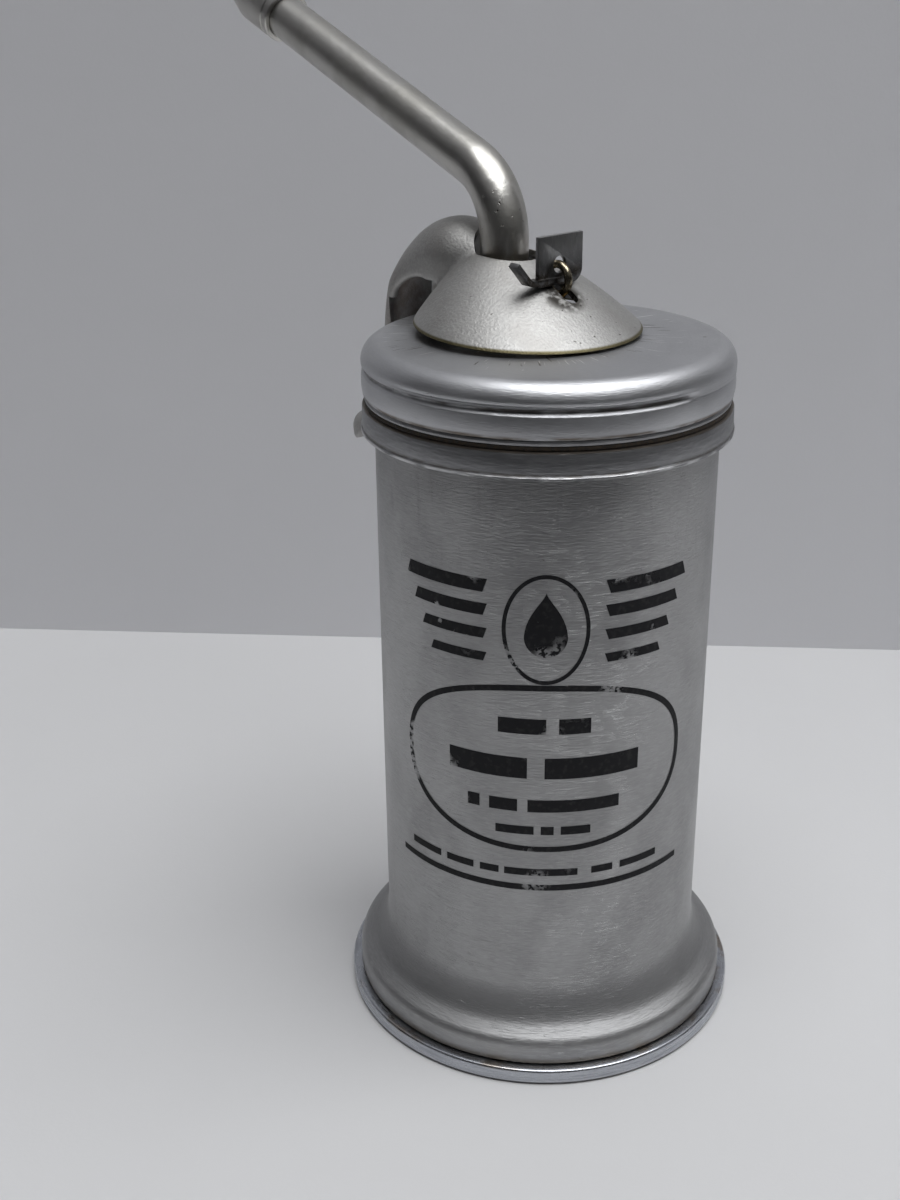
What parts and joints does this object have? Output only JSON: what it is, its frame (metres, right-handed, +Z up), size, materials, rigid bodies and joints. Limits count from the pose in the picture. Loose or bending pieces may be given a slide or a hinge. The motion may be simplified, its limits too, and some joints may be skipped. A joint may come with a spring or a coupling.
{
  "type": "pump oiler can",
  "caption": "Hand-held pump oiler: flared round can, screw cap carrying a lift pump, hinged trigger lever, bent spout with nozzle, ball valves and a return spring.",
  "frame": {"origin": "on the can's axis, at the centre of the bottom plate, which sits just above the level the foot rim stands on", "axes": "+Z up along the can, +X towards the spout and the trigger, so that the lever plane is XZ"},
  "size_m": [0.1045, 0.06, 0.1505],
  "materials": {
    "can": "satin spun aluminium, fine grain",
    "rim": "bright rolled edge",
    "plate": "dull",
    "neck": "grey, worn",
    "cap": "satin with grime in the grooves",
    "cork": "oily composition cork",
    "lever": "matte plated",
    "spout": "satin nickel, pitted",
    "clip": "dark spring steel",
    "rod": "bright wire",
    "brass": "dull, oily",
    "casting": "die-cast grey",
    "tube": "drawn tube",
    "steel": "plated",
    "wire": "spring wire",
    "ball": "polished",
    "leather": "oiled leather"
  },
  "bodies": {
    "can": {"body_shell": "can", "base_rim": "rim", "bottom_plate": "plate", "neck_ring": "neck"},
    "seal": {"cap_gasket": "cork", "seal_ring": "rim"},
    "head": {"screw_cap": "cap", "pump_head": "casting", "gland_nut": "brass", "packing_ring": "cork", "spout_nut": "brass", "spout_tube": "spout", "nozzle_tip": "spout", "fulcrum_bracket": "steel", "fulcrum_pin": "steel", "pump_barrel": "tube", "return_spring": "wire", "discharge_spring": "wire", "foot_valve": "brass", "ball_stop_pin": "wire", "suction_tube": "tube", "strainer": "tube"},
    "lever": {"lever": "lever", "lever_ear_left": "steel", "lever_ear_right": "steel"},
    "rod": {"pull_rod": "rod", "lock_clip": "clip", "piston": "brass", "piston_cup": "leather", "piston_nut": "brass"},
    "foot_ball": {"foot_ball": "ball"},
    "discharge_ball": {"discharge_ball": "ball"}
  },
  "joints": [
    {"name": "cap_rise", "type": "slide", "parent": "can", "child": "seal", "axis": [0, 0, 1], "range_m": [0, 0.0045]},
    {"name": "cap_turn", "type": "hinge", "parent": "seal", "child": "head", "pos_m": [0, 0, 0.0975], "axis": [0, 0, 1], "range_deg": [0, 540]},
    {"name": "lever_rock", "type": "hinge", "parent": "head", "child": "lever", "pos_m": [0.017, 0, 0.1062], "axis": [0, 1, 0], "range_deg": [0, 11]},
    {"name": "rod_lift", "type": "slide", "parent": "head", "child": "rod", "axis": [0, 0, 1], "range_m": [0, 0.00297], "stiffness_N_per_m": 900, "springref_m": -0.0035, "deforming": ["return_spring"]},
    {"name": "foot_ball_lift", "type": "slide", "parent": "head", "child": "foot_ball", "axis": [0, 0, 1], "range_m": [0, 0.0008]},
    {"name": "discharge_ball_lift", "type": "slide", "parent": "head", "child": "discharge_ball", "axis": [0, 0, 1], "range_m": [0, 0.0008], "stiffness_N_per_m": 60, "springref_m": -0.001, "deforming": ["discharge_spring"]}
  ],
  "couplings": [
    {"joint": "cap_turn", "follows": "cap_rise", "rad_per_m": 2094},
    {"joint": "lever_rock", "follows": "rod_lift", "rad_per_m": 64.5}
  ]
}
